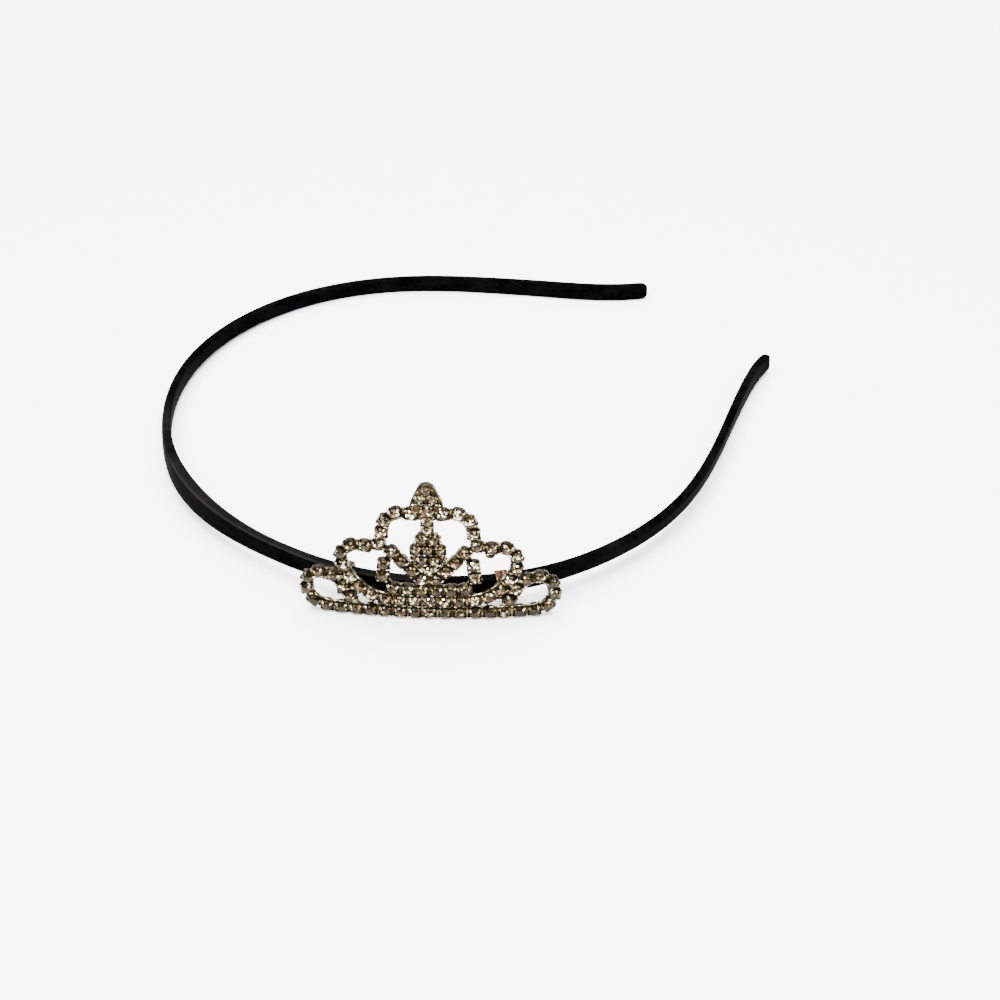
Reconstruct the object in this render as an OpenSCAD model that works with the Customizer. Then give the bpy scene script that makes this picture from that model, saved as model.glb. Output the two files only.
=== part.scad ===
// Mini crown headband: a slim satin-covered band with a small rhinestone crown clipped to its outer face.
// The piece lies on its lower edges. The crown stands upright on its foot and the band runs round behind it.
// Origin: middle of the crown's foot, on the table. X runs along the crown, Y towards the back, Z up.

/* [Headband] */
// Length of the band along its centreline, from end to end
band_length = 413; // [380:1:440]
// Width of the band, which stands upright
band_w = 4.3; // [4:0.1:6]
// Thickness of the band with its satin cover
band_t = 2.1; // [1.8:0.1:2.4]
// Rounding of the band's long edges
band_edge_r = 0.45; // [0.3:0.05:0.6]
// Height of the band's lower edge above the table, behind the crown
band_lift = 3.2; // [2.6:0.1:4]
// The same at the far side, where the band leans and turns its lower corner down onto the table
far_lift = 0.08; // [0.06:0.01:0.2]
// Distance from the back of the crown's cups to the middle of the band
band_setback = 2.85; // [2.5:0.05:3.4]
// Place of the crown's middle on the band, as a share of the band's length
crown_place = 0.665; // [0.6:0.005:0.7]
// Rounding of the band's cut ends
end_round = 1.4; // [0.6:0.1:1.6]

/* [Crown] */
// Width of the crown over its two end loops
crown_w = 53; // [50:0.5:58]
// Height of the crown from the table to the top of its drop
crown_h = 32.9; // [31.4:0.5:35.9]
// Width of the pear-shaped drop where it is widest
drop_w = 6.5; // [6.2:0.1:7]
// Width of the drop's rounded upper end
drop_top_w = 3.8; // [3:0.1:4.4]
// Radius that the whole crown is bent to
crown_bend_r = 140; // [100:5:400]

/* [Stones and cups] */
// Diameter of the round stones
stone_d = 2.4; // [2:0.05:2.45]
// Diameter of the larger stone in the drop
drop_stone_d = 3; // [2.6:0.1:3.1]
// Diameter of the small stones: the cluster in the middle and those in the drop
small_stone_d = 2; // [1.7:0.05:2.1]
// Spacing of the stones along their rows
stone_pitch = 3; // [2.9:0.05:3.4]
// Width of the metal beside each stone, out to the edge of its cup
cup_wall = 0.13; // [0.08:0.01:0.2]
// Depth of a cup from its rim to its back
cup_depth = 1.2; // [1:0.1:1.6]
// Thickness of a cup's floor
cup_floor = 0.35; // [0.25:0.05:0.5]
// Free space round each stone in its cup
stone_clearance = 0.06; // [0.04:0.01:0.1]
// Height of a stone from its girdle to its table
stone_crown_h = 0.5; // [0.3:0.05:0.7]
// Width of the table as a share of the stone's diameter
table_share = 0.58; // [0.5:0.01:0.65]
// Width of a claw at the drop's large stone
claw_w = 0.7; // [0.5:0.05:0.9]
// Thickness of such a claw
claw_t = 0.4; // [0.3:0.05:0.5]
// Height of a claw above the rim of its cup
claw_h = 0.5; // [0.3:0.05:0.7]

/* [Frame and clips] */
// Width of the wires soldered between the cups
wire_w = 1.2; // [0.9:0.1:1.6]
// Thickness of the wires
wire_t = 0.5; // [0.4:0.05:0.7]
// Distance of the wires in front of the backs of the cups
wire_depth = 0.15; // [0.1:0.05:0.3]
// Height of the foot strip, which the crown stands on
foot_h = 0.6; // [0.4:0.1:0.9]
// Length of the foot strip, measured across
foot_w = 36; // [32:1:40]
// Thickness of the foot strip
foot_t = 1; // [0.6:0.1:1.2]
// Distance of the lowest cups above the table
foot_lip = 0.05; // [0.05:0.05:0.2]
// Distance of the left band clip from the crown's middle
clip_left = 17.8; // [16:0.1:18.5]
// Distance of the right band clip from the crown's middle
clip_right = 14.4; // [12:0.1:16]
// Width of a band clip
clip_w = 2.6; // [2:0.1:3.6]
// Thickness of the clip's metal
clip_t = 0.45; // [0.35:0.05:0.6]
// Free space between a clip and the satin
clip_clearance = 0.12; // [0.1:0.01:0.2]
// Gap between the two folded ends of a clip, at the band's inner face
clip_slit = 0.6; // [0.3:0.1:1.2]
// Height of the solder foot between a clip and the back of the crown
clip_foot_h = 2.4; // [1.5:0.1:3]

/* [Hidden] */
$fn = 32;

satin_black = [0.05, 0.05, 0.055];
silver_grey = [0.62, 0.6, 0.56];
champagne = [0.78, 0.72, 0.62];

// The band's course, from its left end to its right end.
// Columns: share of the band's length, heading in degrees, lean in degrees (plus tips the outer face up)
SHARE = 0;
HEADING = 1;
LEAN = 2;
band_course = [
    [0.000, -161, -6],
    [0.020, -175, -6],
    [0.050, -186, -5],
    [0.090, -186, 0],
    [0.140, -180, 7],
    [0.190, -163, 14],
    [0.240, -142, 15],
    [0.300, -118, 11],
    [0.380, -91, 5],
    [0.440, -75, 4],
    [0.500, -56, 8],
    [0.560, -37, 2],
    [0.600, -27, -4],
    [0.640, -11, -8],
    [0.700, 14, -12],
    [0.740, 32, -19],
    [0.790, 49, -15],
    [0.840, 65, -9],
    [0.890, 72, -6],
    [0.940, 72, -1],
    [0.975, 68, 3],
    [1.000, 55, 5]
];
course_steps = 80;
corner_points = 3;

half_w = crown_w / 2;
cup_w = stone_d + 2 * cup_wall;
row_base = foot_lip + cup_w / 2;
row_rise = crown_h - cup_w / 2 - row_base;
stone_sides = 8;

// Routes of the stone rows on the right half of the crown; the left half mirrors them.
// Columns: share of the crown's half width, share of the way from the lowest row to the top stone
rim_route = [
    [0, 0], [0.34, 0], [0.66, 0], [0.79, 0.003], [0.88, 0.021], [0.935, 0.073], [0.954, 0.15],
    [0.93, 0.228], [0.868, 0.272], [0.785, 0.279], [0.713, 0.246], [0.657, 0.18], [0.611, 0.097]
];
lobe_route = [
    [0, 0.093], [0.151, 0.093], [0.302, 0.097], [0.411, 0.116], [0.498, 0.16], [0.574, 0.226],
    [0.638, 0.312], [0.668, 0.418], [0.63, 0.498], [0.551, 0.535], [0.46, 0.532], [0.362, 0.552]
];
base_route = [[0.055, 0.186], [0.164, 0.186], [0.275, 0.193]];
arch_route = [[0.362, 0.552], [0.343, 0.632], [0.336, 0.701], [0.294, 0.771], [0.215, 0.811], [0.117, 0.807]];
leg_route = [[0.336, 0.392], [0.347, 0.296]];
vee_route = [[0.272, 0.495], [0.196, 0.416], [0.125, 0.345], [0.053, 0.278]];

// Single stones in the middle. Columns: share of the stone spacing, share of the way up
centre_table = [
    [-0.4, 0.602], [0.4, 0.602], [-0.8, 0.519], [0, 0.519], [0.8, 0.519], [-0.4, 0.436], [0.4, 0.436],
    [0, 0.354]
];
stem_table = [[0, 0.748], [0, 0.675]];
drop_table = [[0, 0.846]];
drop_small_table = [[0, 0.99], [-0.44, 0.924], [0.44, 0.924]];
// Where the drop is widest
drop_widest = [0, 0.871];

// Wires that tie the rows together, on the right half. Columns: as for the rows, from one point to another
tie_table = [
    [0, 0, 0, 1],
    [0, 0.519, 0.1, 0.519],
    [0, 0.834, 0.117, 0.807],
    [0.272, 0.495, 0.362, 0.552],
    [0.272, 0.495, 0.336, 0.392],
    [0.347, 0.296, 0.275, 0.193],
    [0.275, 0, 0.275, 0.193],
    [0.611, 0.097, 0.62, 0],
    [0.574, 0.226, 0.657, 0.18]
];

// Smooth curve through the rows of a table whose first column rises
function slope(table, col, i) =
    let(a = max(i - 1, 0), b = min(i + 1, len(table) - 1))
    (table[b][col] - table[a][col]) / (table[b][SHARE] - table[a][SHARE]);
function row_before(table, u, i = 0) =
    i >= len(table) - 2 || u < table[i + 1][SHARE] ? i : row_before(table, u, i + 1);
function read_table(table, col, u) =
    let(i = row_before(table, u), d = table[i + 1][SHARE] - table[i][SHARE], q = (u - table[i][SHARE]) / d)
    (2 * q ^ 3 - 3 * q ^ 2 + 1) * table[i][col] + (q ^ 3 - 2 * q ^ 2 + q) * d * slope(table, col, i)
    + (3 * q ^ 2 - 2 * q ^ 3) * table[i + 1][col] + (q ^ 3 - q ^ 2) * d * slope(table, col, i + 1);

// The band's centreline in plan, stepped along its headings, with the crown's place at (0, band_setback)
step_length = band_length / course_steps;
function heading_at(u) = read_table(band_course, HEADING, u);
function lean_at(u) = read_table(band_course, LEAN, u);
function step_at(i) = let(a = heading_at((i + 0.5) / course_steps)) step_length * [cos(a), sin(a)];
raw_course = [for (i = 0, p = [0, 0]; i <= course_steps; p = p + step_at(i), i = i + 1) p];
function on_raw(u) =
    let(i = min(floor(u * course_steps), course_steps - 1), q = u * course_steps - i)
    raw_course[i] * (1 - q) + raw_course[i + 1] * q;
crown_on_raw = on_raw(crown_place);
function plan_point(u) = on_raw(u) - crown_on_raw + [0, band_setback];
far_reach = max([for (p = raw_course) p[1]]) - crown_on_raw[1];

// The band slopes back onto the table: its lower edge is band_lift up at the crown, far_lift at the far side
band_slope = (band_lift - far_lift) / far_reach;
function band_point(u) =
    let(p = plan_point(u)) [p[0], p[1], band_lift - band_slope * (p[1] - band_setback) + band_w / 2];
function unit(v) = v / norm(v);
function band_along(u) = let(a = heading_at(u)) unit([cos(a), sin(a), -sin(a) * band_slope]);
function band_outward(u) = unit(cross(band_along(u), [0, 0, 1]));
function band_up(u) = cross(band_outward(u), band_along(u));
function leaned_out(u) = let(a = lean_at(u)) band_outward(u) * cos(a) + band_up(u) * sin(a);
function leaned_up(u) = let(a = lean_at(u)) band_up(u) * cos(a) - band_outward(u) * sin(a);

// Rectangular section with rounded corners; columns: outward, upward
function section(w, t, r) = [
    for (corner = [0 : 3]) for (k = [0 : corner_points - 1])
        let(a = 90 * (corner + k / (corner_points - 1)), mid = 45 + 90 * corner)
        [sign(cos(mid)) * (t / 2 - r) + r * cos(a), sign(sin(mid)) * (w / 2 - r) + r * sin(a)]
];

// Rings along the band. At a cut end its width is rounded off over end_round on both sides, and its thickness
// half as much. Columns: share of the rounding's length from the end, share of it cut away
end_share = end_round / band_length;
end_rings = [[0, 1], [0.1, 0.56], [0.4, 0.2], [1, 0]];
function ring(u, cut) = [
    for (q = section(band_w - 2 * cut, band_t - cut, band_edge_r * (1 - cut / band_t)))
        band_point(u) + leaned_out(u) * q[0] + leaned_up(u) * q[1]
];
band_rings = concat(
    [for (e = end_rings) ring(e[0] * end_share, e[1] * end_round)],
    [for (i = [1 : course_steps - 1]) ring(i / course_steps, 0)],
    [for (k = [len(end_rings) - 1 : -1 : 0])
        ring(1 - end_rings[k][0] * end_share, end_rings[k][1] * end_round)]
);

module loft(rings) {
    n = len(rings[0]);
    last = len(rings) - 1;
    polyhedron(
        points = [for (r = rings) for (p = r) p],
        faces = concat(
            [[for (k = [n - 1 : -1 : 0]) k]],
            [for (i = [0 : last - 1]) for (k = [0 : n - 1])
                [i * n + k, i * n + (k + 1) % n, (i + 1) * n + k]],
            [for (i = [0 : last - 1]) for (k = [0 : n - 1])
                [i * n + (k + 1) % n, (i + 1) * n + (k + 1) % n, (i + 1) * n + k]],
            [[for (k = [0 : n - 1]) last * n + k]]
        )
    );
}

// Places of the stones, evenly spaced along a smooth curve through a route
route_steps = 8;
function crown_mm(p) = [p[0] * half_w, row_base + p[1] * row_rise];
function route_mm(route) = [for (p = route) crown_mm(p)];
function curve_between(a, b, c, d, q) =
    0.5 * (2 * b + (c - a) * q + (2 * a - 5 * b + 4 * c - d) * q ^ 2 + (3 * b - a - 3 * c + d) * q ^ 3);
function curve(p) = [
    for (i = [0 : len(p) - 2]) for (k = [0 : route_steps - (i == len(p) - 2 ? 0 : 1)])
        curve_between(i > 0 ? p[i - 1] : 2 * p[0] - p[1], p[i], p[i + 1],
                      i < len(p) - 2 ? p[i + 2] : 2 * p[i + 1] - p[i], k / route_steps)
];
function step_to(c, i) = i < len(c) - 1 ? norm(c[i + 1] - c[i]) : 0;
function run_lengths(c) = [for (i = 0, s = 0; i < len(c); s = s + step_to(c, i), i = i + 1) s];
function index_at(runs, s, i = 0) = i >= len(runs) - 2 || s <= runs[i + 1] ? i : index_at(runs, s, i + 1);
function place_at(c, runs, s) =
    let(i = index_at(runs, s), q = (s - runs[i]) / (runs[i + 1] - runs[i]), d = c[i + 1] - c[i])
    [c[i][0] + d[0] * q, c[i][1] + d[1] * q, atan2(d[1], d[0])];
function row_places(route, first = 0) =
    let(c = curve(route_mm(route)), runs = run_lengths(c), total = runs[len(runs) - 1])
    let(n = max(1, round(total / stone_pitch)))
    [for (k = [first : n]) place_at(c, runs, total * k / n)];
function mirrored(places) = concat(places, [for (p = places) if (p[0] > stone_d / 4) [-p[0], p[1], -p[2]]]);
function single_places(table) = [for (p = table) [p[0] * stone_pitch, row_base + p[1] * row_rise, 0]];

rows = [rim_route, lobe_route, base_route, arch_route, leg_route, vee_route];
rim_places = mirrored(row_places(rim_route));
lobe_places = mirrored(row_places(lobe_route));
base_places = mirrored(row_places(base_route));
arch_places = mirrored(row_places(arch_route, 1));
leg_places = mirrored(row_places(leg_route));
vee_places = mirrored(row_places(vee_route));
centre_places = single_places(centre_table);
stem_places = single_places(stem_table);
drop_places = single_places(drop_table);
drop_small_places = single_places(drop_small_table);

// Stones with a cup each, and stones that share the drop's cup. Columns: places, diameter
cup_fields = [
    [rim_places, stone_d], [lobe_places, stone_d], [base_places, stone_d], [arch_places, stone_d],
    [leg_places, stone_d], [vee_places, stone_d], [centre_places, small_stone_d], [stem_places, small_stone_d]
];
drop_fields = [[drop_places, drop_stone_d], [drop_small_places, small_stone_d]];

// Sets its child on the bent crown: local X along the row, local Z out of the front, origin at the cup's back
module on_crown(place) {
    phi = place[0] / crown_bend_r * 180 / PI;
    translate([crown_bend_r * sin(phi), crown_bend_r * (1 - cos(phi)), place[1]])
        rotate([90, 0, phi]) rotate([0, 0, place[2]]) children();
}

module on_band(u) {
    out = leaned_out(u);
    up = leaned_up(u);
    along = band_along(u);
    at = band_point(u);
    multmatrix([
        [along[0], out[0], up[0], at[0]],
        [along[1], out[1], up[1], at[1]],
        [along[2], out[2], up[2], at[2]],
        [0, 0, 0, 1]
    ]) children();
}

// One cup, square with its corners cut off, still without its pocket
module cup(width) {
    turn = 180 / stone_sides;
    rotate([0, 0, turn]) cylinder(d = width / cos(turn), h = cup_depth, $fn = stone_sides);
}

// The claws round the drop's large stone, one at each corner
module claws(width) {
    for (turn = [45 : 90 : 315]) rotate([0, 0, turn])
        translate([width / 2, -claw_w / 2, 0]) cube([claw_t, claw_w, cup_depth + claw_h]);
}

// The room for one stone, open to the front
module pocket(stone) {
    turn = 180 / stone_sides;
    translate([0, 0, cup_floor]) rotate([0, 0, turn])
        cylinder(d = (stone + 2 * stone_clearance) / cos(turn), h = cup_depth + claw_h, $fn = stone_sides);
}

// A flat wire soldered between the cups, from one point of the crown to another
module wire(a, b) {
    hull() for (p = [a, b])
        on_crown([p[0], p[1], 0]) translate([0, 0, wire_depth]) cylinder(d = wire_w, h = wire_t, $fn = 4);
}

module wires() {
    for (route = rows) for (side = [-1, 1]) {
        places = row_places(route);
        for (i = [1 : len(places) - 1])
            wire([side * places[i - 1][0], places[i - 1][1]], [side * places[i][0], places[i][1]]);
    }
    for (t = tie_table) for (side = [-1, 1]) {
        a = crown_mm([t[0], t[1]]);
        b = crown_mm([t[2], t[3]]);
        if (side > 0 || a[0] + b[0] > 0) wire([side * a[0], a[1]], [side * b[0], b[1]]);
    }
}

// The pear-shaped cup of the drop, which holds four stones
module drop_cup() {
    hull() {
        on_crown([0, crown_h - drop_top_w / 2, 0]) cylinder(d = drop_top_w, h = cup_depth, $fn = 24);
        on_crown(single_places([drop_widest])[0]) cylinder(d = drop_w, h = cup_depth, $fn = 24);
    }
}

module foot() {
    reach = asin(foot_w / 2 / crown_bend_r);
    translate([0, crown_bend_r, 0]) rotate([0, 0, -90 - reach])
        rotate_extrude(angle = 2 * reach, $fn = 240)
            translate([crown_bend_r - foot_t / 2, 0]) square([foot_t, foot_h]);
}

// A metal strip folded round the band, with its two ends nearly meeting at the inner face,
// and the solder foot that joins it to the back of the crown
module clip(place) {
    u = crown_place + place / band_length;
    hole_t = band_t + 2 * clip_clearance;
    hole_w = band_w + 2 * clip_clearance;
    on_band(u) difference() {
        translate([-clip_w / 2, -hole_t / 2 - clip_t, -hole_w / 2 - clip_t])
            cube([clip_w, hole_t + 2 * clip_t, hole_w + 2 * clip_t]);
        translate([-clip_w, -hole_t / 2, -hole_w / 2]) cube([2 * clip_w, hole_t, hole_w]);
        translate([-clip_w, -hole_t - clip_t, -clip_slit / 2]) cube([2 * clip_w, hole_t, clip_slit]);
    }
    hull() {
        on_band(u) translate([-clip_w / 2, hole_t / 2, -clip_foot_h / 2]) cube([clip_w, clip_t, clip_foot_h]);
        on_crown([place, band_point(u)[2], 0]) translate([-clip_w / 2, -clip_foot_h / 2, -clip_t])
            cube([clip_w, clip_foot_h, clip_t + cup_floor / 2]);
    }
}

module headband() {
    color(satin_black) loft(band_rings);
}

module crown_setting() {
    color(silver_grey) {
        difference() {
            union() {
                for (f = cup_fields) for (p = f[0]) on_crown(p) cup(f[1] + 2 * cup_wall);
                for (p = drop_places) on_crown(p) claws(drop_stone_d + 2 * stone_clearance);
                wires();
                drop_cup();
                foot();
            }
            for (f = concat(cup_fields, drop_fields)) for (p = f[0]) on_crown(p) pocket(f[1]);
        }
        for (place = [-clip_left, clip_right]) clip(place);
    }
}

// Cut stone: a point below, facets up to a flat table. Its widest ring lies level with the rim of its cup
module stone(d) {
    n = stone_sides;
    turn = 180 / n;
    point_at = cup_floor + stone_clearance;
    rings = [[d / 2, cup_depth], [d / 2 * table_share, cup_depth + stone_crown_h]];
    points = concat(
        [[0, 0, point_at]],
        [for (r = rings) for (k = [0 : n - 1])
            [r[0] * cos(2 * turn * k + turn), r[0] * sin(2 * turn * k + turn), r[1]]]
    );
    polyhedron(points = points, faces = concat(
        [for (k = [0 : n - 1]) [0, 1 + k, 1 + (k + 1) % n]],
        [for (k = [0 : n - 1]) [1 + k, 1 + n + k, 1 + n + (k + 1) % n, 1 + (k + 1) % n]],
        [[for (k = [n - 1 : -1 : 0]) 1 + n + k]]
    ));
}

module stones(places, d) {
    color(champagne) for (p = places) on_crown(p) stone(d);
}

module drop_stone() stones(drop_places, drop_stone_d);
module rim_stones() stones(rim_places, stone_d);
module lobe_stones() stones(lobe_places, stone_d);
module base_stones() stones(base_places, stone_d);
module arch_stones() stones(arch_places, stone_d);
module leg_stones() stones(leg_places, stone_d);
module vee_stones() stones(vee_places, stone_d);
module drop_small_stones() stones(drop_small_places, small_stone_d);
module stem_stones() stones(stem_places, small_stone_d);
module centre_stones() stones(centre_places, small_stone_d);

headband();
crown_setting();
drop_stone();
rim_stones();
lobe_stones();
base_stones();
arch_stones();
leg_stones();
vee_stones();
centre_stones();
stem_stones();
drop_small_stones();
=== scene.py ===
# Mini crown headband: a thin satin-covered band with a little rhinestone crown clipped to it
import math
import random
import bpy
import bmesh
from mathutils import Matrix, Vector


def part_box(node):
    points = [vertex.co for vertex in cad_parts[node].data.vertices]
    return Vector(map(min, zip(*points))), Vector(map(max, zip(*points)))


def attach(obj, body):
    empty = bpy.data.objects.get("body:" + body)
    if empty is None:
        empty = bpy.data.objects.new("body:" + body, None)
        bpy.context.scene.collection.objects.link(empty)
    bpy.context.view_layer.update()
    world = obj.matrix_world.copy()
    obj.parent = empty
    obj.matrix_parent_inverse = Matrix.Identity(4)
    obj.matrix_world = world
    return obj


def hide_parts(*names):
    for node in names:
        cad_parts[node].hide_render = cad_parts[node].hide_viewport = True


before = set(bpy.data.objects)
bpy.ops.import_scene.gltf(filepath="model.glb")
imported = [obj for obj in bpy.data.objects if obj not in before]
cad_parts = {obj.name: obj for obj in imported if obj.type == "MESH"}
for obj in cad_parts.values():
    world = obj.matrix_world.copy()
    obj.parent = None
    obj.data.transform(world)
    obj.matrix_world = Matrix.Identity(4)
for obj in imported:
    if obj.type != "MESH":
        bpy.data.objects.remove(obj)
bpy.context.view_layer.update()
mm = 0.001
root = "root"
print("frame loaded:", ", ".join(sorted(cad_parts)))


# Helpers for the whole script

def pickNothing():
    if bpy.context.object and bpy.context.object.mode != "OBJECT":
        bpy.ops.object.mode_set(mode="OBJECT")
    bpy.ops.object.select_all(action="DESELECT")


def pickOnly(obj):
    pickNothing()
    obj.select_set(True)
    bpy.context.view_layer.objects.active = obj


def selectFaces(obj, test):
    # leaves edit mode on, with only the faces that pass the test selected
    bpy.ops.object.mode_set(mode="EDIT")
    bpy.ops.mesh.select_mode(type="FACE")
    bpy.ops.mesh.select_all(action="DESELECT")
    mesh = bmesh.from_edit_mesh(obj.data)
    for face in mesh.faces:
        face.select = test(face)
    bmesh.update_edit_mesh(obj.data)


def objectMode():
    bpy.ops.object.mode_set(mode="OBJECT")


def joinPieces(pieces, name):
    pickNothing()
    for piece in pieces:
        piece.select_set(True)
    bpy.context.view_layer.objects.active = pieces[0]
    if len(pieces) > 1:
        bpy.ops.object.join()
    joined = bpy.context.object
    joined.name = name
    return joined


def extrudeBy(offset, scale=None):
    # on the selected faces, in edit mode
    bpy.ops.mesh.extrude_region_move(TRANSFORM_OT_translate={"value": offset})
    if scale:
        bpy.ops.transform.resize(value=scale)


def bakeTransform():
    bpy.ops.object.transform_apply(location=True, rotation=True, scale=True)


def roundEdges(obj, width, segments):
    rounded = obj.modifiers.new("rounded", "BEVEL")
    rounded.width = width
    rounded.segments = segments
    rounded.limit_method = "ANGLE"
    bpy.ops.object.modifier_apply(modifier="rounded")


def linear(hexColour):
    # sRGB hex to the linear values that the shader wants
    values = [int(hexColour[i:i + 2], 16) / 255 for i in (1, 3, 5)]
    return [v / 12.92 if v <= 0.04045 else ((v + 0.055) / 1.055) ** 2.4 for v in values] + [1]


def newMaterial(name):
    material = bpy.data.materials.new(name)
    material.use_nodes = True
    tree = material.node_tree
    tree.nodes.clear()
    output = tree.nodes.new("ShaderNodeOutputMaterial")
    shader = tree.nodes.new("ShaderNodeBsdfPrincipled")
    tree.links.new(shader.outputs["BSDF"], output.inputs["Surface"])
    return material, shader


def addNode(material, kind, settings=None, links=None):
    # settings: attribute or input values; links: input name or number -> output socket
    node = material.node_tree.nodes.new(kind)
    for key, value in (settings or {}).items():
        if isinstance(key, str) and hasattr(node, key) and not key[0].isupper():
            setattr(node, key, value)
        else:
            node.inputs[key].default_value = value
    for key, socket in (links or {}).items():
        material.node_tree.links.new(socket, node.inputs[key])
    return node


def join(material, socket, shader, name):
    material.node_tree.links.new(socket, shader.inputs[name])


def axesOf(material, socket):
    node = addNode(material, "ShaderNodeSeparateXYZ", None, {"Vector": socket})
    return node.outputs["X"], node.outputs["Y"], node.outputs["Z"]


def noiseOf(material, place, size, detail):
    # patches of about this size, in metres
    return addNode(material, "ShaderNodeTexNoise", {"Scale": 1 / size, "Detail": detail},
                   {"Vector": place.outputs["Object"]}).outputs["Fac"]


def rampOf(material, stops, socket):
    node = addNode(material, "ShaderNodeValToRGB", None, {"Fac": socket})
    ramp = node.color_ramp
    while len(ramp.elements) < len(stops):
        ramp.elements.new(0.5)
    for element, (place, colour) in zip(ramp.elements, stops):
        element.position = place
        element.color = linear(colour)
    return node.outputs["Color"]


def mathOf(material, operation, *terms, clamp=False):
    # each term is a socket or a number
    settings = {"operation": operation, "use_clamp": clamp}
    links = {}
    for i, term in enumerate(terms):
        if isinstance(term, (int, float)):
            settings[i] = term
        else:
            links[i] = term
    return addNode(material, "ShaderNodeMath", settings, links).outputs["Value"]


def blendOf(material, share, first, second):
    # first and second are the mix node's colours, each a socket or a hex tone
    node = addNode(material, "ShaderNodeMix", {"data_type": "RGBA"}, {"Factor": share})
    for number, colour in ((6, first), (7, second)):
        if isinstance(colour, str):
            node.inputs[number].default_value = linear(colour)
        else:
            material.node_tree.links.new(colour, node.inputs[number])
    return node.outputs[2]


def rangeOf(material, socket, span, source=(0, 1)):
    settings = {"From Min": source[0], "From Max": source[1], "To Min": span[0], "To Max": span[1]}
    return addNode(material, "ShaderNodeMapRange", settings, {"Value": socket}).outputs["Result"]


# Satin-covered band

band = {
    "middle": Vector((0, 0.075, 0)),     # of the head, which the angles go round
    "gapAt": 37,                  # degrees: the open back, between the two ends
    "courseSteps": 240,
    "smoothing": 2,
    "mergeWithin": 0.005 * mm,
    "flatWithin": 60,             # degrees between triangles that make one four-sided face
    "puff": 0.06 * mm,            # the ribbon stands off a little all round
    "loosePuff": 0.5 * mm,        # and more at the left bend, where it has come loose
    "looseAt": 179,               # degrees round the course
    "looseReach": 26,
    "paintedHighlightSpan": (140, 236),       # degrees: the stretch whose upper side gets a painted grey highlight
    "paintedHighlightFade": 12,
    # how strong the painted highlight is, by the way the satin faces: 0 is outward, 90 up; most
    # where the ribbon folds over
    "paintedHighlightByFacing": ((24, 48, 66, 80, 105, 150), (0, 1, 0.9, 0.34, 0.3, 0)),
}


def bandCourse(vertices):
    # lengths along the band, against the angle round the head
    byAngle = sorted(((courseAngle(v), v) for v in vertices), key=lambda pair: pair[0])
    steps = band["courseSteps"]
    first, last = byAngle[0][0], byAngle[-1][0]
    points = []
    for i in range(steps):
        low = first + (last - first) * i / steps
        high = first + (last - first) * (i + 1) / steps
        inside = [v for a, v in byAngle if low <= a <= high]
        if inside:
            middle = sum(inside, Vector()) / len(inside)
            points.append(((low + high) / 2, middle))
    lengths = [0]
    for (_, a), (_, b) in zip(points, points[1:]):
        lengths.append(lengths[-1] + (b - a).length)
    return [angle for angle, _ in points], lengths


def courseAngle(v):
    # starts in the gap between the two ends, behind and to the right
    angle = math.atan2(v.y - band["middle"].y, v.x - band["middle"].x)
    return (angle - math.radians(band["gapAt"])) % (2 * math.pi)


def readTable(table, at):
    # straight lines between the table's steps
    steps, values = table
    if at <= steps[0]:
        return values[0]
    for i in range(1, len(steps)):
        if at <= steps[i]:
            share = (at - steps[i - 1]) / (steps[i] - steps[i - 1])
            return values[i - 1] + (values[i] - values[i - 1]) * share
    return values[-1]


def makeBandCover():
    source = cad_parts["headband"]
    cover = source.copy()
    cover.data = source.data.copy()
    cover.name = "satin_cover"
    bpy.context.collection.objects.link(cover)
    pickOnly(cover)
    bpy.ops.object.mode_set(mode="EDIT")
    bpy.ops.mesh.select_all(action="SELECT")
    bpy.ops.mesh.remove_doubles(threshold=band["mergeWithin"])
    flat = math.radians(band["flatWithin"])
    bpy.ops.mesh.tris_convert_to_quads(face_threshold=flat, shape_threshold=flat)
    objectMode()
    smooth = cover.modifiers.new("smooth", "SUBSURF")
    smooth.levels = band["smoothing"]
    smooth.render_levels = band["smoothing"]
    bpy.ops.object.modifier_apply(modifier="smooth")
    loose = cover.vertex_groups.new(name="loose")
    for vertex in cover.data.vertices:
        degrees = math.degrees(courseAngle(vertex.co))
        away = abs(degrees - band["looseAt"]) / band["looseReach"]
        share = 0.5 + 0.5 * math.cos(math.pi * min(away, 1))
        loose.add([vertex.index], share, "REPLACE")
    swells = [("puff", band["puff"], ""), ("loosened", band["loosePuff"], "loose")]
    for name, strength, group in swells:
        swell = cover.modifiers.new(name, "DISPLACE")
        swell.strength = strength
        swell.mid_level = 0
        swell.vertex_group = group
        bpy.ops.object.modifier_apply(modifier=name)
    bpy.ops.object.shade_smooth()
    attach(cover, root)
    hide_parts("headband")
    return cover


def unrollBand(cover):
    # U runs along the band in metres, V runs up it
    vertices = [v.co.copy() for v in cover.data.vertices]
    course = bandCourse(vertices)
    while cover.data.uv_layers:
        cover.data.uv_layers.remove(cover.data.uv_layers[0])
    layer = cover.data.uv_layers.new(name="unrolled")
    along = [readTable(course, courseAngle(v)) for v in vertices]
    for loop in cover.data.loops:
        layer.data[loop.index].uv = (along[loop.vertex_index], vertices[loop.vertex_index].z)
    # painted highlight: grey on the upper side, and most of all on the edge where the ribbon folds
    # over
    paintedHighlight = cover.data.attributes.new("paintedRidgeHighlight", "FLOAT", "POINT")
    first, last = band["paintedHighlightSpan"]
    for vertex in cover.data.vertices:
        degrees = math.degrees(courseAngle(vertex.co))
        inSpan = min(1, max(0, min(degrees - first, last - degrees) / band["paintedHighlightFade"]))
        fromMiddle = vertex.co - band["middle"]
        outward = Vector((fromMiddle.x, fromMiddle.y, 0)).normalized()
        tilt = math.degrees(math.atan2(vertex.normal.z, vertex.normal.dot(outward)))
        paintedHighlight.data[vertex.index].value = inSpan * readTable(band["paintedHighlightByFacing"], tilt)


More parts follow.
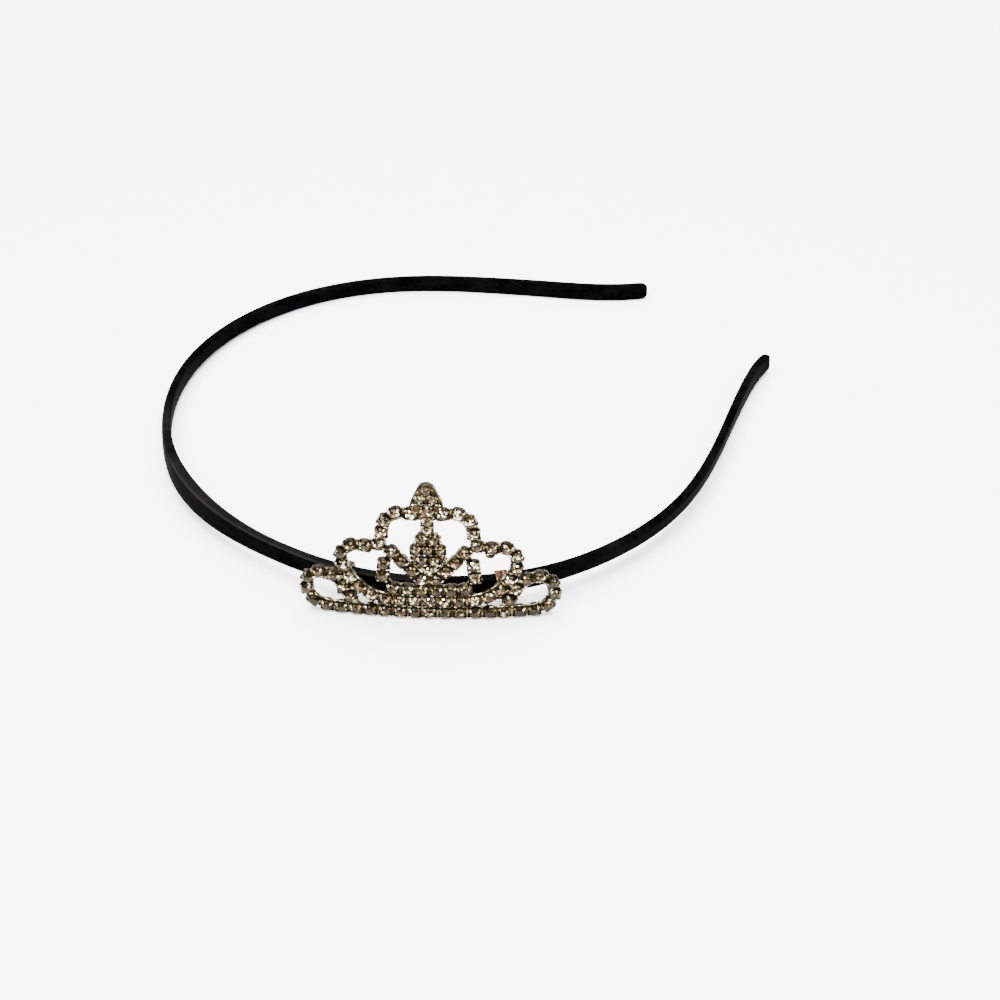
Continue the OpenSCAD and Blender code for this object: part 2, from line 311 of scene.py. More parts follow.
satin = {
    "threadSpacing": 0.35 * mm,   # real satin has about 0.1 mm; drawn coarser so that it shows
    "threadStretch": 4,           # the floats run this much longer along the band
    "threadDepth": 0.02 * mm,
    "threadStrength": 0.25,
    "threadNoise": (2.0, 0.5),    # detail and roughness
    "creaseLength": 9 * mm,
    "creaseSquash": 2.2,          # across the band they are shorter by this much
    "creaseDepth": 0.05 * mm,
    "creaseStrength": 0.35,
    "creaseNoise": (3.0, 0.55),
    "tones": [(0.16, "#000000"), (0.4, "#060606")],
    # the grey of the painted highlight
    "paintedHighlightTone": "#1d1d1b",
    "roughness": (0.45, 0.65),
    "sheen": (0.001, 0.4),        # weight and roughness
    "shine": 0.001,               # specular level
}


def satinMaterial():
    # black polyester satin ribbon, woven with long floats: very dark, with a painted grey
    # highlight on its upper side in place of a soft broad shine
    s = satin
    material, shader = newMaterial("black_polyester_satin")
    place = addNode(material, "ShaderNodeUVMap", {"uv_map": "unrolled"})

    def alongBand(scale, noise):
        stretched = addNode(material, "ShaderNodeMapping", {"Scale": scale},
                            {"Vector": place.outputs["UV"]})
        settings = {"Scale": 1.0, "Detail": noise[0], "Roughness": noise[1]}
        return addNode(material, "ShaderNodeTexNoise", settings,
                       {"Vector": stretched.outputs["Vector"]}).outputs["Fac"]

    def bump(strength, depth, height, under=None):
        links = {"Height": height}
        if under:
            links["Normal"] = under
        return addNode(material, "ShaderNodeBump", {"Strength": strength, "Distance": depth},
                       links).outputs["Normal"]

    crease, thread = 1 / s["creaseLength"], 1 / s["threadSpacing"]
    creases = alongBand((crease, crease * s["creaseSquash"], 1), s["creaseNoise"])
    threads = alongBand((thread / s["threadStretch"], thread, 1), s["threadNoise"])
    tone = rampOf(material, s["tones"], mathOf(material, "MULTIPLY", threads, creases))
    # painted highlight: a grey mixed into the black on the upper side and the folded edge, patchy
    # with the creases
    paintedHighlight = addNode(material, "ShaderNodeAttribute", {"attribute_name": "paintedRidgeHighlight"})
    paintedHighlightMask = mathOf(material, "MULTIPLY", paintedHighlight.outputs["Fac"], creases)
    join(material, blendOf(material, paintedHighlightMask, tone, s["paintedHighlightTone"]), shader, "Base Color")
    join(material, rangeOf(material, creases, s["roughness"]), shader, "Roughness")
    creased = bump(s["creaseStrength"], s["creaseDepth"], creases)
    woven = bump(s["threadStrength"], s["threadDepth"], threads, creased)
    join(material, woven, shader, "Normal")
    shader.inputs["Sheen Weight"].default_value = s["sheen"][0]
    shader.inputs["Sheen Roughness"].default_value = s["sheen"][1]
    shader.inputs["Specular IOR Level"].default_value = s["shine"]
    return material


cover = makeBandCover()
unrollBand(cover)
cover.data.materials.clear()
cover.data.materials.append(satinMaterial())
print("satin cover made")


# Where the stones sit: each one gives its middle, its facing and the way its row runs

stoneNodes = ["rim_stones", "lobe_stones", "base_stones", "arch_stones", "leg_stones",
              "vee_stones", "centre_stones", "stem_stones", "drop_small_stones", "drop_stone"]
singleNodes = ["centre_stones", "stem_stones", "drop_small_stones", "drop_stone"]
stoneFind = {
    "mergeWithin": 0.002 * mm,
    "girdleBelow": 0.8,        # the widest ring lies lower than this share of the stone's height
    "corners": 8,
    "sameRowGap": 1.5,         # a second neighbour further off than this share isn't in the row
    "signSlope": 0.37,         # sets which way a row runs where both neighbours are equally near
}


def stonePlaces(node):
    mesh = bmesh.new()
    mesh.from_mesh(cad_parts[node].data)
    bmesh.ops.remove_doubles(mesh, verts=mesh.verts, dist=stoneFind["mergeWithin"])
    unseen = dict.fromkeys(mesh.verts)     # keeps their order, so that every run is the same
    places = []
    while unseen:
        island, edge = [], [unseen.popitem()[0]]
        while edge:
            vertex = edge.pop()
            island.append(vertex.co.copy())
            for link in vertex.link_edges:
                other = link.other_vert(vertex)
                if other in unseen:
                    del unseen[other]
                    edge.append(other)
        # the stones face the front, so the one vertex furthest back is a stone's point
        point = max(island, key=lambda p: p.y)
        rest = [p for p in island if p is not point]
        facing = (sum(rest, Vector()) / len(rest) - point).normalized()
        tall = max((p - point).dot(facing) for p in rest)
        girdle = [p for p in rest if (p - point).dot(facing) < stoneFind["girdleBelow"] * tall]
        middle = sum(girdle, Vector()) / len(girdle)
        corner = girdle[0] - middle
        places.append({"node": node, "at": middle, "facing": facing,
                       "radius": corner.length, "corner": corner.normalized()})
    mesh.free()
    return sorted(places, key=lambda p: (round(p["at"].x, 5), round(p["at"].z, 5)))


def rowDirection(place, places):
    # single stones are set square; in a row the two neighbours on the same side give its direction
    if place["node"] in singleNodes:
        return Vector((1, 0, 0))
    same = [p for p in places if p is not place and p["node"] == place["node"]
            and p["at"].x * place["at"].x >= -1e-9]
    same.sort(key=lambda p: (p["at"] - place["at"]).length)
    toFirst = same[0]["at"] - place["at"]
    if len(same) > 1:
        toSecond = same[1]["at"] - place["at"]
        near = toSecond.length < stoneFind["sameRowGap"] * toFirst.length
        if toFirst.dot(toSecond) < 0 and near:
            return toFirst - toSecond
    return toFirst


def turnAlongRow(places):
    # a stone's eight corners lie halfway between the eight directions that its cup may have
    for place in places:
        facing = place["facing"]
        direction = rowDirection(place, places)
        if direction.x + stoneFind["signSlope"] * direction.z < 0:
            direction = -direction
        direction = (direction - facing * direction.dot(facing)).normalized()
        step = 360 / stoneFind["corners"]
        turns = [Matrix.Rotation(math.radians(step * (i + 0.5)), 3, facing) @ place["corner"]
                 for i in range(stoneFind["corners"])]
        along = max(turns, key=lambda turn: turn.dot(direction))
        side = facing.cross(along)
        place["matrix"] = Matrix((along, side, facing)).transposed().to_4x4()
        place["matrix"].translation = place["at"]


allPlaces = [place for node in stoneNodes for place in stonePlaces(node)]
turnAlongRow(allPlaces)
print("stones found:", len(allPlaces))


def nearestPlace(x, z):
    # x and z in mm, seen from the front
    return min(allPlaces, key=lambda p: (p["at"].x - x * mm) ** 2 + (p["at"].z - z * mm) ** 2)


def copyTo(pattern, matrices, name, scales=None):
    # each copy has its own mesh, and they are joined into one piece at the origin
    copies = []
    for i, matrix in enumerate(matrices):
        copy = pattern.copy()
        copy.data = pattern.data.copy()
        bpy.context.collection.objects.link(copy)
        scale = scales[i] if scales else 1
        copy.data.transform(matrix @ Matrix.Scale(scale, 4))
        copy.matrix_world = Matrix()
        copies.append(copy)
    piece = joinPieces(copies, name)
    piece.data.name = name
    return piece


# Rhinestones: round brilliants of foiled glass

stoneShape = {
    "sides": 16,
    "radius": 1.2 * mm,
    "girdle": 0.1 * mm,
    "crownHeight": 0.5 * mm,
    "lowerShare": 0.6,         # of the crown's height, for its lower row of facets
    "middleShare": 0.8,        # width between the two rows
    "tableShare": 0.56,
    "tableTurn": 11.25,        # degrees
    "pavilionDepth": 0.7 * mm,
    "pointShare": 0.08,
    "ringStep": 0.05 * mm,     # the rings of facets lie on whole steps of this
    "ringStart": -3,           # degrees: no facet has its middle there
}


def facetRank(face):
    # ring by ring from the point up, and round each ring
    middle = face.calc_center_median()
    ring = round(middle.z / stoneShape["ringStep"])
    degrees = math.degrees(math.atan2(middle.y, middle.x))
    return ring + (degrees - stoneShape["ringStart"]) % 360 / 360


def makeStonePattern():
    s = stoneShape
    bpy.ops.mesh.primitive_cylinder_add(vertices=s["sides"], radius=s["radius"],
                                        depth=s["girdle"], location=(0, 0, 0))
    stone = bpy.context.object
    # crown: the top face goes up and in twice, which gives the lower and upper rows of facets
    selectFaces(stone, lambda f: f.normal.z > 0.9)
    lower = s["crownHeight"] * s["lowerShare"]
    extrudeBy((0, 0, lower), (s["middleShare"], s["middleShare"], 1))
    inward = s["tableShare"] / s["middleShare"]
    extrudeBy((0, 0, s["crownHeight"] - lower), (inward, inward, 1))
    bpy.ops.transform.rotate(value=math.radians(s["tableTurn"]), orient_axis="Z",
                             center_override=(0, 0, 0))
    bpy.ops.mesh.poke()      # through the table you see the facets of the foiled back
    # pavilion: the bottom face goes down to a small point
    selectFaces(stone, lambda f: f.normal.z < -0.9)
    extrudeBy((0, 0, -s["pavilionDepth"]), (s["pointShare"], s["pointShare"], 1))
    objectMode()
    # extruding leaves the facets in another order each run, and their tones go by that order
    facets = bmesh.new()
    facets.from_mesh(stone.data)
    facets.faces.sort(key=facetRank)
    facets.to_mesh(stone.data)
    facets.free()
    return stone


stoneLook = {
    "cloudSize": 0.5 * mm,
    "cloudiness": 0.2,
    # painted reflections and glints, from dark brown through olive to cream
    "tones": [(0.05, "#0a0703"), (0.28, "#171007"), (0.52, "#261d0f"), (0.78, "#392d18"),
              (0.9, "#5f4d2b"), (0.96, "#b29a68"), (1.0, "#fff0cc")],
    "usual": 0.4,
    # the painted reflections are darker low down and in the stem, lighter in the arch and the
    # large stone
    "lighter": {"arch_stones": 0.16, "lobe_stones": 0.01, "rim_stones": -0.12,
                "base_stones": -0.16, "stem_stones": -0.2, "drop_small_stones": -0.08,
                "drop_stone": 0.12},
    "stoneSpread": 0.09,     # how much whole stones differ
    "facetSpread": 0.55,     # how much the facets of one stone differ
    "foil": 0.9,             # metallic
    "roughness": 0.16,
    "coat": (0.12, 0.02),    # weight and roughness
}


def foiledGlassMaterial():
    # cut glass with a foiled back and a light brown tint: each facet has a painted reflection in
    # its colour, so dark brown, olive and cream lie side by side in one stone, with a few painted
    # cream glints
    look = stoneLook
    material, shader = newMaterial("foiled_cut_glass")
    facet = addNode(material, "ShaderNodeAttribute", {"attribute_name": "paintedFacetReflection"})
    place = addNode(material, "ShaderNodeTexCoord")
    clouds = noiseOf(material, place, look["cloudSize"], 1.0)
    mixed = mathOf(material, "MULTIPLY_ADD", clouds, look["cloudiness"], facet.outputs["Fac"])
    join(material, rampOf(material, look["tones"], mixed), shader, "Base Color")
    shader.inputs["Metallic"].default_value = look["foil"]
    shader.inputs["Roughness"].default_value = look["roughness"]
    shader.inputs["Coat Weight"].default_value = look["coat"][0]
    shader.inputs["Coat Roughness"].default_value = look["coat"][1]
    return material


def toneFacets(piece, count, usual):
    # every facet gets a painted reflection tone of its own, and every stone a little shift
    rng = random.Random(len(piece.data.polygons))
    facets = len(piece.data.polygons) // count
    layer = piece.data.attributes.new("paintedFacetReflection", "FLOAT", "FACE")
    for i in range(count):
        shift = rng.gauss(usual, stoneLook["stoneSpread"])
        for k in range(facets):
            change = rng.uniform(-1, 1) * stoneLook["facetSpread"]
            layer.data[i * facets + k].value = shift + change


stonePattern = makeStonePattern()
glass = foiledGlassMaterial()
for node in stoneNodes:
    own = [p for p in allPlaces if p["node"] == node]
    name = node.replace("stone", "rhinestone")
    scales = [p["radius"] / stoneShape["radius"] for p in own]
    piece = copyTo(stonePattern, [p["matrix"] for p in own], name, scales)
    toneFacets(piece, len(own), stoneLook["usual"] + stoneLook["lighter"].get(node, 0))
    piece.data.materials.clear()
    piece.data.materials.append(glass)
    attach(piece, root)
    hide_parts(node)
bpy.data.objects.remove(stonePattern)
print("rhinestones set")


# Metal of the crown

plating = {
    "stainSize": 1.6 * mm,
    "darkTones": [(0.3, "#0a0703"), (0.5, "#1a140a"), (0.72, "#40351f")],
    "backFacingTones": [(0.3, "#2b261c"), (0.5, "#4c4536"), (0.72, "#7a725e")],
    "backFrom": (0.3, 0.8),    # how far a face must look backwards to take the lighter tones
    "scratchSize": 0.25 * mm,
    "roughness": (0.22, 0.45),
    "wearSize": 0.9 * mm,
    "brightTones": [(0.42, "#3a301c"), (0.54, "#8c8062"), (0.65, "#f6efd8")],
    "brightRoughness": 0.18,
    "wornTones": [(0.38, "#171108"), (0.52, "#3c321e"), (0.64, "#84775a")],
    "wornRoughness": 0.3,
}
copperClip = {
    "span": (12.4 * mm, 16.2 * mm),      # from and to, along the crown
    "behind": 1.1 * mm,                  # further back than the cups
    "slant": 0.25,             # the band's slope where the clip sits
    "edge": 1.45 * mm,         # its far edge begins here, with that slope taken off
    "spotSize": 0.5 * mm,
    "tones": [(0.36, "#0b0705"), (0.52, "#241811"), (0.66, "#4d3b28")],
    # painted highlight along the clip's far edge
    "paintedEdgeHighlight": "#c9c0a8",
}


def agedPlateMaterial():
    # silver-plated brass: dark and brown on the faces that look forward, lighter on the faces that
    # look backwards
    clip = copperClip
    material, shader = newMaterial("tarnished_silver_plate")
    place = addNode(material, "ShaderNodeTexCoord")
    across, deep, _ = axesOf(material, place.outputs["Object"])
    surface = addNode(material, "ShaderNodeNewGeometry")
    _, backwards, upwards = axesOf(material, surface.outputs["Normal"])
    stains = noiseOf(material, place, plating["stainSize"], 3.0)
    dark = rampOf(material, plating["darkTones"], stains)
    backFacingTone = rampOf(material, plating["backFacingTones"], stains)
    atBack = rangeOf(material, backwards, (0, 1), plating["backFrom"])
    plate = blendOf(material, atBack, dark, backFacingTone)
    # the right clip has lost its plating and shows copper; its far edge has a painted highlight on
    # its upward faces
    past = mathOf(material, "GREATER_THAN", across, clip["span"][0])
    before = mathOf(material, "LESS_THAN", across, clip["span"][1])
    behind = mathOf(material, "GREATER_THAN", deep, clip["behind"])
    onClip = mathOf(material, "MULTIPLY", mathOf(material, "MULTIPLY", past, before), behind)
    copper = rampOf(material, clip["tones"], noiseOf(material, place, clip["spotSize"], 2.0))
    slanted = mathOf(material, "MULTIPLY_ADD", across, -clip["slant"], deep)
    farEdge = mathOf(material, "GREATER_THAN", slanted, clip["edge"])
    paintedHighlightMask = mathOf(material, "MULTIPLY", farEdge, upwards, clamp=True)
    clipTone = blendOf(material, paintedHighlightMask, copper, clip["paintedEdgeHighlight"])
    join(material, blendOf(material, onClip, plate, clipTone), shader, "Base Color")
    scratches = noiseOf(material, place, plating["scratchSize"], 2.0)
    join(material, rangeOf(material, scratches, plating["roughness"]), shader, "Roughness")
    shader.inputs["Metallic"].default_value = 1
    return material


def platedMaterial(name, tones, roughness):
    # the same plating where fingers and cloths reach it: worn in patches
    material, shader = newMaterial(name)
    place = addNode(material, "ShaderNodeTexCoord")
    wear = noiseOf(material, place, plating["wearSize"], 2.0)
    join(material, rampOf(material, tones, wear), shader, "Base Color")
    shader.inputs["Metallic"].default_value = 1
    shader.inputs["Roughness"].default_value = roughness
    return material


agedPlate = agedPlateMaterial()
brightPlate = platedMaterial("polished_silver_plate", plating["brightTones"],
                             plating["brightRoughness"])
wornPlate = platedMaterial("worn_silver_plate", plating["wornTones"], plating["wornRoughness"])
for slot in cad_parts["crown_setting"].material_slots:
    slot.material = agedPlate


# Claws: four to a cup, each bent in over the edge of its stone

claw = {
    "toEachCup": 4,
    "footWidth": 0.8 * mm,
    "footDepth": 0.36 * mm,
    "footHeight": 0.9 * mm,
    "footLow": 0.5 * mm,       # the foot's middle, below the stone's widest ring
    "outFrom": 1.49 * mm,      # from the middle of the stone
    "tipWidth": 0.46 * mm,
    "neck": (-0.06 * mm, 0, 0.22 * mm),      # each step on from the foot: in and up
    "neckShare": 0.9,
    "elbow": (-0.1 * mm, 0, 0.18 * mm),
    "bendAt": (0.16 * mm, 0.35 * mm),        # in from the foot, and up
    "bend": 40,                # degrees
    "over": (-0.2 * mm, 0, 0.1 * mm),
    "tip": (-0.12 * mm, 0, 0),
    "tipShare": 0.6,
    "rounding": 0.06 * mm,
    "smoothBelow": 50,         # degrees
    "brightAbove": 0.2 * mm,
}


def makeClawPattern():
    # a broad foot up the corner of the cup, which narrows and bends in over the stone
    c = claw
    bpy.ops.mesh.primitive_cube_add(size=1, location=(c["outFrom"], 0, -c["footLow"]))
    prong = bpy.context.object
    prong.scale = (c["footDepth"], c["footWidth"], c["footHeight"])
    pickOnly(prong)
    bakeTransform()
    selectFaces(prong, lambda f: f.normal.z > 0.9)
    extrudeBy(c["neck"], (c["neckShare"], c["tipWidth"] / c["footWidth"], 1))
    extrudeBy(c["elbow"])
    inward, up = c["bendAt"]
    bpy.ops.transform.rotate(value=math.radians(-c["bend"]), orient_axis="Y",
                             center_override=(c["outFrom"] - inward, 0, up))
    extrudeBy(c["over"])
    extrudeBy(c["tip"], (c["tipShare"], c["tipShare"], c["tipShare"]))
    objectMode()
    roundEdges(prong, c["rounding"], 1)
    bpy.ops.object.shade_smooth_by_angle(angle=math.radians(c["smoothBelow"]))
    # the foot is dark, the rubbed tip bright
    prong.data.materials.append(agedPlate)
    prong.data.materials.append(brightPlate)
    for face in prong.data.polygons:
        face.material_index = 1 if face.center.z > c["brightAbove"] else 0
    return prong


clawPattern = makeClawPattern()
clawPlaces = []
for p in allPlaces:
    grown = p["radius"] - stoneShape["radius"]
    for i in range(claw["toEachCup"]):
        turn = Matrix.Rotation(math.radians(360 / claw["toEachCup"] * (i + 0.5)), 4, "Z")
        clawPlaces.append(p["matrix"] @ turn @ Matrix.Translation((grown, 0, 0)))
claws = copyTo(clawPattern, clawPlaces, "claws")
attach(claws, root)
bpy.data.objects.remove(clawPattern)
print("claws bent over")


# Links: the cups of a row hang together by small bars, rounded by the plating

link = {
    "size": (0.9 * mm, 2.5 * mm, 0.7 * mm),    # along the row, across it, deep
    "below": 0.35 * mm,        # its top below the stones' widest ring
    "rounding": 0.25 * mm,
    "reach": 3.5 * mm,         # stones further apart than this aren't neighbours
}


def makeLinkPattern():
    along, across, deep = link["size"]
    bpy.ops.mesh.primitive_cube_add(size=1, location=(0, 0, -link["below"] - deep / 2))
    bar = bpy.context.object
    bar.scale = (along, across, deep)
    bakeTransform()
    roundEdges(bar, link["rounding"], 2)
    bpy.ops.object.shade_smooth()
    bar.data.materials.append(wornPlate)
    return bar


linkPattern = makeLinkPattern()
linkPlaces = []
for i, p in enumerate(allPlaces):
    for q in allPlaces[i + 1:]:
        inRow = p["node"] == q["node"] and p["node"] not in singleNodes
        if inRow and (p["at"] - q["at"]).length < link["reach"]:
            facing = (p["facing"] + q["facing"]).normalized()
            along = (q["at"] - p["at"]).normalized()
            across = facing.cross(along).normalized()
            spot = Matrix((along, across, facing)).transposed().to_4x4()
            spot.translation = (p["at"] + q["at"]) / 2
            linkPlaces.append(spot)
links = copyTo(linkPattern, linkPlaces, "cup_links")
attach(links, root)
bpy.data.objects.remove(linkPattern)
print("links set:", len(linkPlaces))


# Wires with bright edges, which run beside the rows and round the drop

wire = {
    "radius": 0.14 * mm,
    "loopShare": 0.8,          # the end loops' wires are thinner, and the drop's rim is thicker
    "rimShare": 1.2,
    "beside": 1.38 * mm,       # from the middle of the row
    "back": 0.35 * mm,         # behind the stones' widest ring
    "lobeSpan": (9 * mm, 11 * mm),       # further out than, and lower than
    "loopSpan": (12 * mm, 2.6 * mm),
}
leaf = {
    "out": 1.25 * mm,          # from the middle of the outermost stones
    "sameRow": 0.5 * mm,       # stones whose heights differ less than this stand side by side
    "onMiddle": 0.1 * mm,      # stones this near to the middle line bound both sides
}
drop = {
    "topRadius": 1.88 * mm,
    "wideRadius": 3.2 * mm,
    "rise": 0.75 * mm,         # its widest place above the large stone
    "forward": 0.05 * mm,
    "topSteps": 12,
    "lowSteps": 24,
}
grain = {
    "drop": 0.26 * mm,
    "dropIn": 0.5 * mm,        # from the rim
    "leaf": 0.338 * mm,
    "leafIn": 0.4 * mm,        # from the leaf's edge
    "leafForward": 0.21 * mm,
    "corner": 0.494 * mm,
    # mm across and up: beside the cluster's foot, and where the leaf widens under the stem
    "corners": [(2.25, 13.35), (3.35, 14.5), (1.7, 12.2), (2.95, 15.35), (3.05, 13.75),
                (2.6, 14.3), (1.65, 20.5), (2.3, 19.7), (2.9, 17.5)],
    "clear": 0.3,              # of its radius: a grain's middle stays this far from every stone
}


def makeWire(name, points, radius, finish, closed=False):
    curve = bpy.data.curves.new(name, "CURVE")
    curve.dimensions = "3D"
    curve.bevel_depth = radius
    curve.bevel_resolution = 2
    curve.use_fill_caps = True
    spline = curve.splines.new("POLY")
    spline.points.add(len(points) - 1)
    for point, place in zip(spline.points, points):
        point.co = (place.x, place.y, place.z, 1)
    spline.use_cyclic_u = closed
    rod = bpy.data.objects.new(name, curve)
    bpy.context.collection.objects.link(rod)
    pickOnly(rod)
    bpy.ops.object.convert(target="MESH")
    rod = bpy.context.object
    bpy.ops.object.shade_smooth()
    rod.data.materials.append(finish)
    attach(rod, root)
    return rod


def besideRow(places, up):
    # the line that runs along one side of a row, at the edge of its cups
    points = []
    for i, p in enumerate(places):
        before, after = places[max(i - 1, 0)]["at"], places[min(i + 1, len(places) - 1)]["at"]
        side = p["facing"].cross(after - before).normalized()
        if (side.z > 0) != up:
            side = -side
        points.append(p["at"] + side * wire["beside"] - p["facing"] * wire["back"])
    return points


def rowOf(node, test):
    row = [p for p in allPlaces if p["node"] == node and test(p["at"])]
    return sorted(row, key=lambda p: p["at"].x)


sides = ((-1, "left"), (1, "right"))
for sign, name in sides:
    vee = rowOf("vee_stones", lambda at: at.x * sign > 0)
    makeWire("vee_wire_" + name, besideRow(vee, True), wire["radius"], brightPlate)
    out, low = wire["lobeSpan"]
    slant = rowOf("lobe_stones", lambda at: out < at.x * sign and at.z < low)
    makeWire("lobe_wire_" + name, besideRow(slant, True), wire["radius"], brightPlate)
    out, low = wire["loopSpan"]
    sole = rowOf("rim_stones", lambda at: out < at.x * sign and at.z < low)
    makeWire("loop_wire_" + name, besideRow(sole, True), wire["radius"] * wire["loopShare"],
             brightPlate)

# the cluster in the middle has a leaf-shaped edge, from the drop's stem down to the V
leafStones = [p["at"] for p in allPlaces if p["node"] in ("stem_stones", "centre_stones")]
leafStones.sort(key=lambda at: -at.z)


def outermost(at, sign):
    beside = [q for q in leafStones if abs(q.z - at.z) < leaf["sameRow"]]
    return at.x * sign > -leaf["onMiddle"] and not any(q.x * sign > at.x * sign for q in beside)


leafGrains = []
for sign, name in sides:
    outer = [at for at in leafStones if outermost(at, sign)]
    edge = [at + Vector((sign * leaf["out"], wire["back"], 0)) for at in outer]
    makeWire("leaf_wire_" + name, edge, wire["radius"], wornPlate)
    inward = Vector((sign * grain["leafIn"], grain["leafForward"], 0))
    leafGrains += [(a + b) / 2 - inward for a, b in zip(edge, edge[1:])]

# the drop is a pear: a small arc above, a large one below, and straight sides that touch both
large = [p["at"] for p in allPlaces if p["node"] == "drop_stone"][0]
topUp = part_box("crown_setting")[1].z - drop["topRadius"] - large.z
tangent = math.asin((drop["wideRadius"] - drop["topRadius"]) / (topUp - drop["rise"]))


def dropArc(radius, up, first, turn, steps):
    points = []
    for i in range(steps + 1):
        angle = first + turn * i / steps
        across, rise = radius * math.cos(angle), up + radius * math.sin(angle)
        points.append(large + Vector((across, -drop["forward"], rise)))
    return points


pear = dropArc(drop["topRadius"], topUp, tangent, math.pi - 2 * tangent, drop["topSteps"])
pear += dropArc(drop["wideRadius"], drop["rise"], math.pi - tangent, math.pi + 2 * tangent,
                drop["lowSteps"])
makeWire("drop_rim", pear, wire["radius"] * wire["rimShare"], agedPlate, True)


def makeGrains(name, spots, radius, finish):
    # grains of metal pushed up beside the stones, which hold them
    grains = []
    for spot in spots:
        nearest = min((spot - p["at"]).length - p["radius"] for p in allPlaces)
        if nearest > radius * grain["clear"]:
            bpy.ops.mesh.primitive_ico_sphere_add(subdivisions=2, radius=radius, location=spot)
            grains.append(bpy.context.object)
    piece = joinPieces(grains, name)
    bakeTransform()
    bpy.ops.object.shade_smooth()
    piece.data.materials.append(finish)
    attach(piece, root)
    print(name, len(grains))


dropMiddle = large + Vector((0, 0, drop["rise"]))
dropGrains = [at + (dropMiddle - at).normalized() * grain["dropIn"] for at in pear[2::2]]
makeGrains("drop_grains", dropGrains, grain["drop"], brightPlate)
makeGrains("leaf_grains", leafGrains, grain["leaf"], brightPlate)
# larger, duller ones fill the corners of the leaf
cornerGrains = [Vector((sign * x, 0, z)) * mm for sign in (-1, 1) for x, z in grain["corners"]]
makeGrains("corner_grains", cornerGrains, grain["corner"], wornPlate)
print("wires and grains laid")


# Solder: small lumps where the rows join, behind the stones

solder = {
    "seed": 5,
    "size": (0.8 * mm, 1.25 * mm),
    "flat": 0.34,              # front to back
    "tall": (0.6, 0.9),
    "turned": (0, 3),          # radians, in the crown's face
    "behind": 1.25 * mm,       # the stones' widest ring, at the back of the cups
    "bendRadius": 140 * mm,    # of the crown's face, round the head
    "joints": [(1.4, 9.7), (9.6, 16), (9.2, 10.3), (16.4, 8.4), (16.2, 4.3), (12, 1.4),
               (4.3, 7), (3, 25.8)],     # mm across and up
    "drip": (11.6, 17.6),      # mm: one lump hangs under the right lobe's row here
    "dripRadius": 0.9 * mm,
    "dripFrom": (-0.3 * mm, 0.6 * mm, -1.75 * mm),      # from the stone above it
    "dripShape": (1.1, 0.5, 0.95),
    "unevenSize": 0.7 * mm,
    "unevenDepth": 0.25 * mm,
}


def makeLump(spot, radius, shape, turn):
    bpy.ops.mesh.primitive_ico_sphere_add(subdivisions=3, radius=radius, location=spot)
    lump = bpy.context.object
    lump.scale = shape
    lump.rotation_euler = turn
    bakeTransform()
    return lump


def makeSolder():
    s = solder
    rng = random.Random(s["seed"])
    lumps = []
    for x, z in s["joints"]:
        for sign in (-1, 1):
            near = nearestPlace(sign * x, z)
            spot = near["at"] - near["facing"] * s["behind"]
            size = rng.uniform(*s["size"])
            shape = (1, s["flat"], rng.uniform(*s["tall"]))
            turn = (0, rng.uniform(*s["turned"]), math.asin(spot.x / s["bendRadius"]))
            lumps.append(makeLump(spot, size, shape, turn))
    below = nearestPlace(*s["drip"])["at"] + Vector(s["dripFrom"])
    lumps.append(makeLump(below, s["dripRadius"], s["dripShape"], (0, 0, 0)))
    piece = joinPieces(lumps, "solder_lumps")
    # uneven, as it ran and set
    texture = bpy.data.textures.new("solder_run", "CLOUDS")
    texture.noise_scale = s["unevenSize"]
    uneven = piece.modifiers.new("uneven", "DISPLACE")
    uneven.texture = texture
    uneven.texture_coords = "LOCAL"
    uneven.strength = s["unevenDepth"]
    bpy.ops.object.modifier_apply(modifier="uneven")
    bpy.ops.object.shade_smooth()
    return piece


lumps = makeSolder()
lumps.data.materials.append(agedPlate)
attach(lumps, root)
print("solder set")


# Floor, light and camera

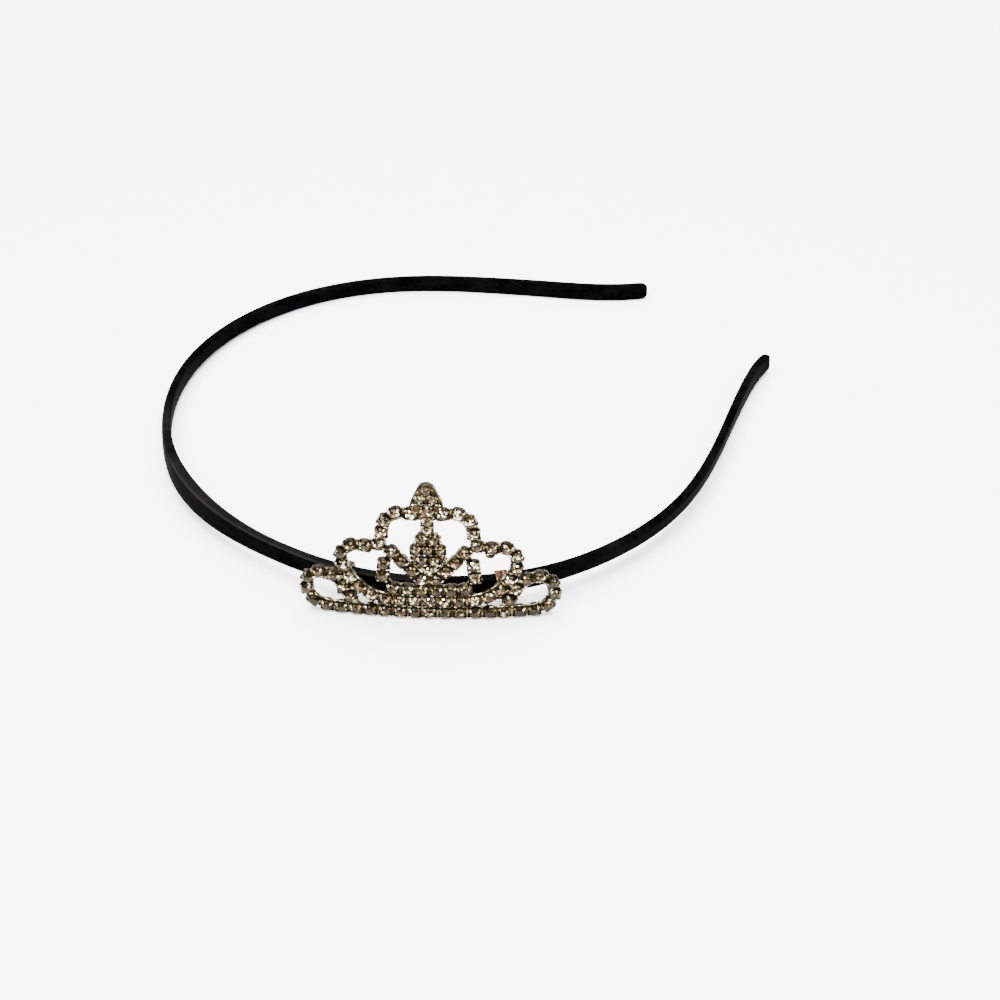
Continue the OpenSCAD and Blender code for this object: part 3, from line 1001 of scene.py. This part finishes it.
studio = {
    "floorSize": 12,
    "floorTone": "#fafafa",
    "floorRoughness": 0.9,
    "room": "#ffffff",
    "roomStrength": 0.6,
    # name: place, aimed at, width and height, watts
    "lamps": {
        "overhead_box": ((0, 0.1, 1.2), (0, 0.05, 0), (1.2, 1.2), 110),
        "key_softbox": ((-0.35, -0.35, 0.6), (0, 0, 0.01), (0.14, 0.14), 8),
        "front_softbox": ((0.08, -0.55, 0.5), (0, 0, 0.01), (0.08, 0.08), 2.5),
        "upper_softbox": ((0, -0.9, 1.0), (0, 0, 0.02), (1.2, 0.5), 12),
        "back_softbox": ((0, 0.9, 0.65), (0, 0, 0.02), (1.0, 0.4), 12),
        "fill_softbox": ((0.45, -0.2, 0.4), (0, 0, 0.01), (0.1, 0.2), 2),
    },
}

bpy.ops.mesh.primitive_plane_add(size=studio["floorSize"], location=(0, 0, 0))
floor = bpy.context.object
floor.name = "floor"
paper, paperShader = newMaterial("matt_white_paper")
paperShader.inputs["Base Color"].default_value = linear(studio["floorTone"])
paperShader.inputs["Roughness"].default_value = studio["floorRoughness"]
floor.data.materials.append(paper)

world = bpy.data.worlds.new("studio_room")
bpy.context.scene.world = world
world.use_nodes = True
background = world.node_tree.nodes["Background"]
background.inputs["Color"].default_value = linear(studio["room"])
background.inputs["Strength"].default_value = studio["roomStrength"]


def softLight(name, place, aimAt, size, power):
    bpy.ops.object.light_add(type="AREA", location=place)
    lamp = bpy.context.object
    lamp.name = name
    lamp.data.shape = "RECTANGLE"
    lamp.data.size, lamp.data.size_y = size
    lamp.data.energy = power
    aim = Vector(aimAt) - Vector(place)
    lamp.rotation_euler = aim.to_track_quat("-Z", "Y").to_euler()


for name, (place, aimAt, size, power) in studio["lamps"].items():
    softLight(name, place, aimAt, size, power)
print("lamps set")

view = {
    "place": (23.8 * mm, -238.1 * mm, 194.0 * mm),
    "tilt": 55.3,        # degrees up from straight down
    "pan": 2.3,
    "lens": 54,          # mm
    "sensor": 36,
    "near": 10 * mm,
}
turned = (math.radians(view["tilt"]), 0, math.radians(view["pan"]))
bpy.ops.object.camera_add(location=view["place"], rotation=turned)
camera = bpy.context.object
camera.data.lens = view["lens"]
camera.data.sensor_width = view["sensor"]
camera.data.clip_start = view["near"]
bpy.context.scene.camera = camera
print("camera set")
